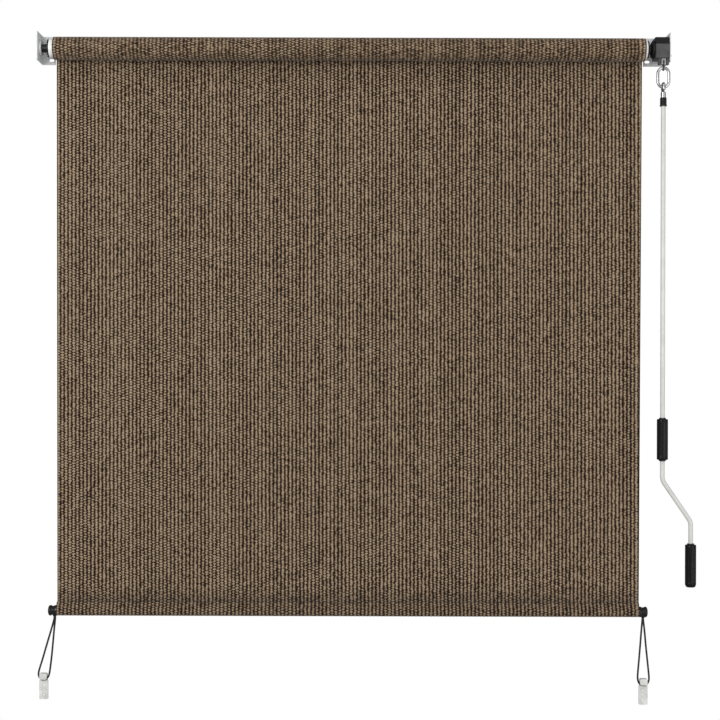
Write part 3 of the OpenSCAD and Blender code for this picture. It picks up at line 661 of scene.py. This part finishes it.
grip = {"length": 96.0, "sides": 96, "bore": 5.56, "flutes": 12, "fluteDepth": 0.85, "fluteStart": 5, "fluteFade": 4,
        "upperZ": -974.4, "lowerZ": -1271.2,
        "stations": [(0.0, 11.4), (0.5, 12.3), (1.5, 13.0), (5.0, 13.0), (7.5, 13.0), (10, 13.0), (48, 13.0),
                     (86, 13.0), (88.5, 13.0), (91, 13.0), (94.5, 13.0), (95.5, 12.3), (96.0, 11.4)]}


# A grip: a ring of shallow flutes that fade out before both ends, and an annulus round the rod at each end.
def gripPiece(name, x, z, body, node):
    bm = bmesh.new()

    def ringOf(height, radiusAt):
        ring = []
        for k in range(grip["sides"]):
            turn = math.tau * k / grip["sides"]
            r = radiusAt(turn)
            ring.append(bm.verts.new(Vector((x + r * math.cos(turn), crankY + r * math.sin(turn), height)) * mm))
        return ring

    rings = []
    for t, outer in grip["stations"]:
        inside = (min(t, grip["length"] - t) - grip["fluteStart"]) / grip["fluteFade"]
        depth = min(1.0, max(0.0, inside)) * grip["fluteDepth"]
        rings.append(ringOf(z + t, lambda turn: outer - depth * max(0.0, math.cos(turn * grip["flutes"])) ** 0.7))
    for ring, height in ((rings[0], z), (rings[-1], z + grip["length"])):
        band(bm, ring, ringOf(height, lambda turn: grip["bore"]))
    for low, high in zip(rings, rings[1:]):
        band(bm, low, high)
    place(bm, name, body, "grip", "grip_plastic", (node,), 35)


gripPiece("grip_upper", crankX, grip["upperZ"], "upper_handle", "upper_grip")
gripPiece("grip_lower", lowX, grip["lowerZ"], "lower_handle", "lower_grip")
endProfile = [(5.5, -0.3), (11.6, -0.3), (12.0, -1.0), (11.2, -2.8), (8.6, -4.2), (4.5, -4.7), (0, -4.8)]
bm = bmesh.new()
turned(bm, endProfile, (lowX, crankY, grip["lowerZ"]), upright, 48)
place(bm, "rod_end_cap", "crank", "grip", "black_plastic", ("grip_end",), 40)
stage("crank")


# End caps of the rail: a flange, a groove and a domed flange, with a foot that the bungee comes out of.
cap = {"x": 697.5, "feet": {"left": 4.2, "right": 8.8}, "footDrop": 9.5, "footSize": (8.0, 10.8, 8.0), "round": 0.8,
       "profile": [(0, -19), (8.6, -19), (9.5, -17.5), (9.6, -0.2), (11.9, 0.0), (12.5, 0.5), (12.5, 4.0),
                   (12.1, 4.7), (11.1, 5.6), (10.9, 6.4), (10.9, 10.7), (11.2, 11.5), (12.2, 12.4), (12.5, 13.1),
                   (12.5, 15.3), (12.1, 16.7), (11.0, 18.0), (8.4, 19.2), (4.5, 19.8), (0, 20.0)]}
for side, way in (("left", -1), ("right", 1)):
    x = way * cap["x"]
    bm = bmesh.new()
    turned(bm, cap["profile"], (x, panelY, railZ), (way, 0, 0), 56)
    footAt = Vector((x + way * cap["feet"][side], panelY, railZ - cap["footDrop"])) * mm
    size = Matrix.Diagonal((*(s * mm for s in cap["footSize"]), 1))
    made = bmesh.ops.create_cube(bm, size=1, matrix=Matrix.Translation(footAt) @ size)
    bm.edges.index_update()
    edges = sorted({e for v in made["verts"] for e in v.link_edges}, key=lambda e: e.index)
    bmesh.ops.bevel(bm, geom=edges, offset=cap["round"] * mm, segments=2, profile=0.5, affect="EDGES", material=-1)
    place(bm, "rail_cap_" + side, "bottom_bar", "black", "black_plastic", ("end_cap_" + side,), 40)
stage("end caps")


# CAD nodes that keep their shape: each one's finish, and the rounding of its edges in millimetres.
dressed = {
    "bracket_left": ("bracket", 0.6), "bracket_right": ("bracket", 0.6), "idler_boss": ("boss", 0.5),
    "idler_pin": ("steel", 0.4), "idler_plug": ("black", 0.3), "roller_tube": ("tube", 0),
    "cloth_spline": ("black", 0), "drive_plug": ("black", 0.3), "drive_shaft": ("steel", 0),
    "worm_wheel": ("brass", 0), "shaft_clip": ("darkSteel", 0), "worm_shaft": ("steel", 0),
    "yoke_pin": ("darkSteel", 0.2), "worm_bush_top": ("brass", 0), "worm_bush_bottom": ("brass", 0),
    "shaft_bush_inner": ("brass", 0), "shaft_bush_outer": ("brass", 0), "gear_case": ("case", 0.8),
    "gear_cover": ("case", 0.4), "case_screws": ("steel", 0.2), "eye_link": ("darkSteel", 0.3),
    "grip_stops": ("black", 0.3), "bottom_rail": ("rail", 0), "clip_left": ("clip", 0.6), "clip_right": ("clip", 0.6),
}
for name, (look, rounding) in dressed.items():
    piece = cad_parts[name]
    if not piece.material_slots:
        piece.data.materials.append(None)
    for slot in piece.material_slots:
        slot.material = finish[look]
    if rounding:
        soften = piece.modifiers.new("edges", "BEVEL")
        soften.width = rounding * mm
        soften.segments = 2
        soften.limit_method = "ANGLE"
        soften.angle_limit = math.radians(40)
        soften.harden_normals = True
stage("dressed")


# Light: a large soft source in front on the left, a weaker one on the right, a faint one above, a white surround.
def lamp(name, at, size, power, aim=(0, 0, -0.7)):
    data = bpy.data.lights.new(name, "AREA")
    data.shape = "RECTANGLE"
    data.size, data.size_y = size
    data.energy = power
    obj = bpy.data.objects.new(name, data)
    obj.location = at
    obj.rotation_euler = (Vector(aim) - Vector(at)).to_track_quat("-Z", "Y").to_euler()
    scene.collection.objects.link(obj)


lamp("key", (-2.2, -3.7, 0.1), (2.4, 2.4), 92)
lamp("fill", (2.8, -3.2, -0.9), (2.4, 2.8), 48)
lamp("top", (0, -1.8, 2.0), (3.0, 1.2), 16, (0, 0, -0.2))
world = bpy.data.worlds.new("surround")
scene.world = world
world.use_nodes = True
tree = world.node_tree
seen = tree.nodes.new("ShaderNodeLightPath")
ambient = tree.nodes["Background"]
ambient.inputs["Strength"].default_value = 0.6
# the light comes from the front: what lies behind the shade gives less, as in a studio with a lit front
outward = tree.nodes.new("ShaderNodeTexCoord")
depth = mapped(tree, parted(tree, outward.outputs["Generated"])[1], -0.3, 0.55, 0.0, 1.0)
grey = ramp(tree, depth, [(0.0, (1.0, 1.0, 1.0)), (1.0, (0.42, 0.42, 0.42))])
tree.links.new(grey, ambient.inputs["Color"])
paper = tree.nodes.new("ShaderNodeBackground")
paper.inputs["Color"].default_value = (1, 1, 1, 1)
paper.inputs["Strength"].default_value = 1.0
mix = tree.nodes.new("ShaderNodeMixShader")
tree.links.new(seen.outputs["Is Camera Ray"], mix.inputs[0])
tree.links.new(ambient.outputs[0], mix.inputs[1])
tree.links.new(paper.outputs[0], mix.inputs[2])
tree.links.new(mix.outputs[0], tree.nodes["World Output"].inputs["Surface"])
scene.view_settings.view_transform = "Standard"
stage("light")
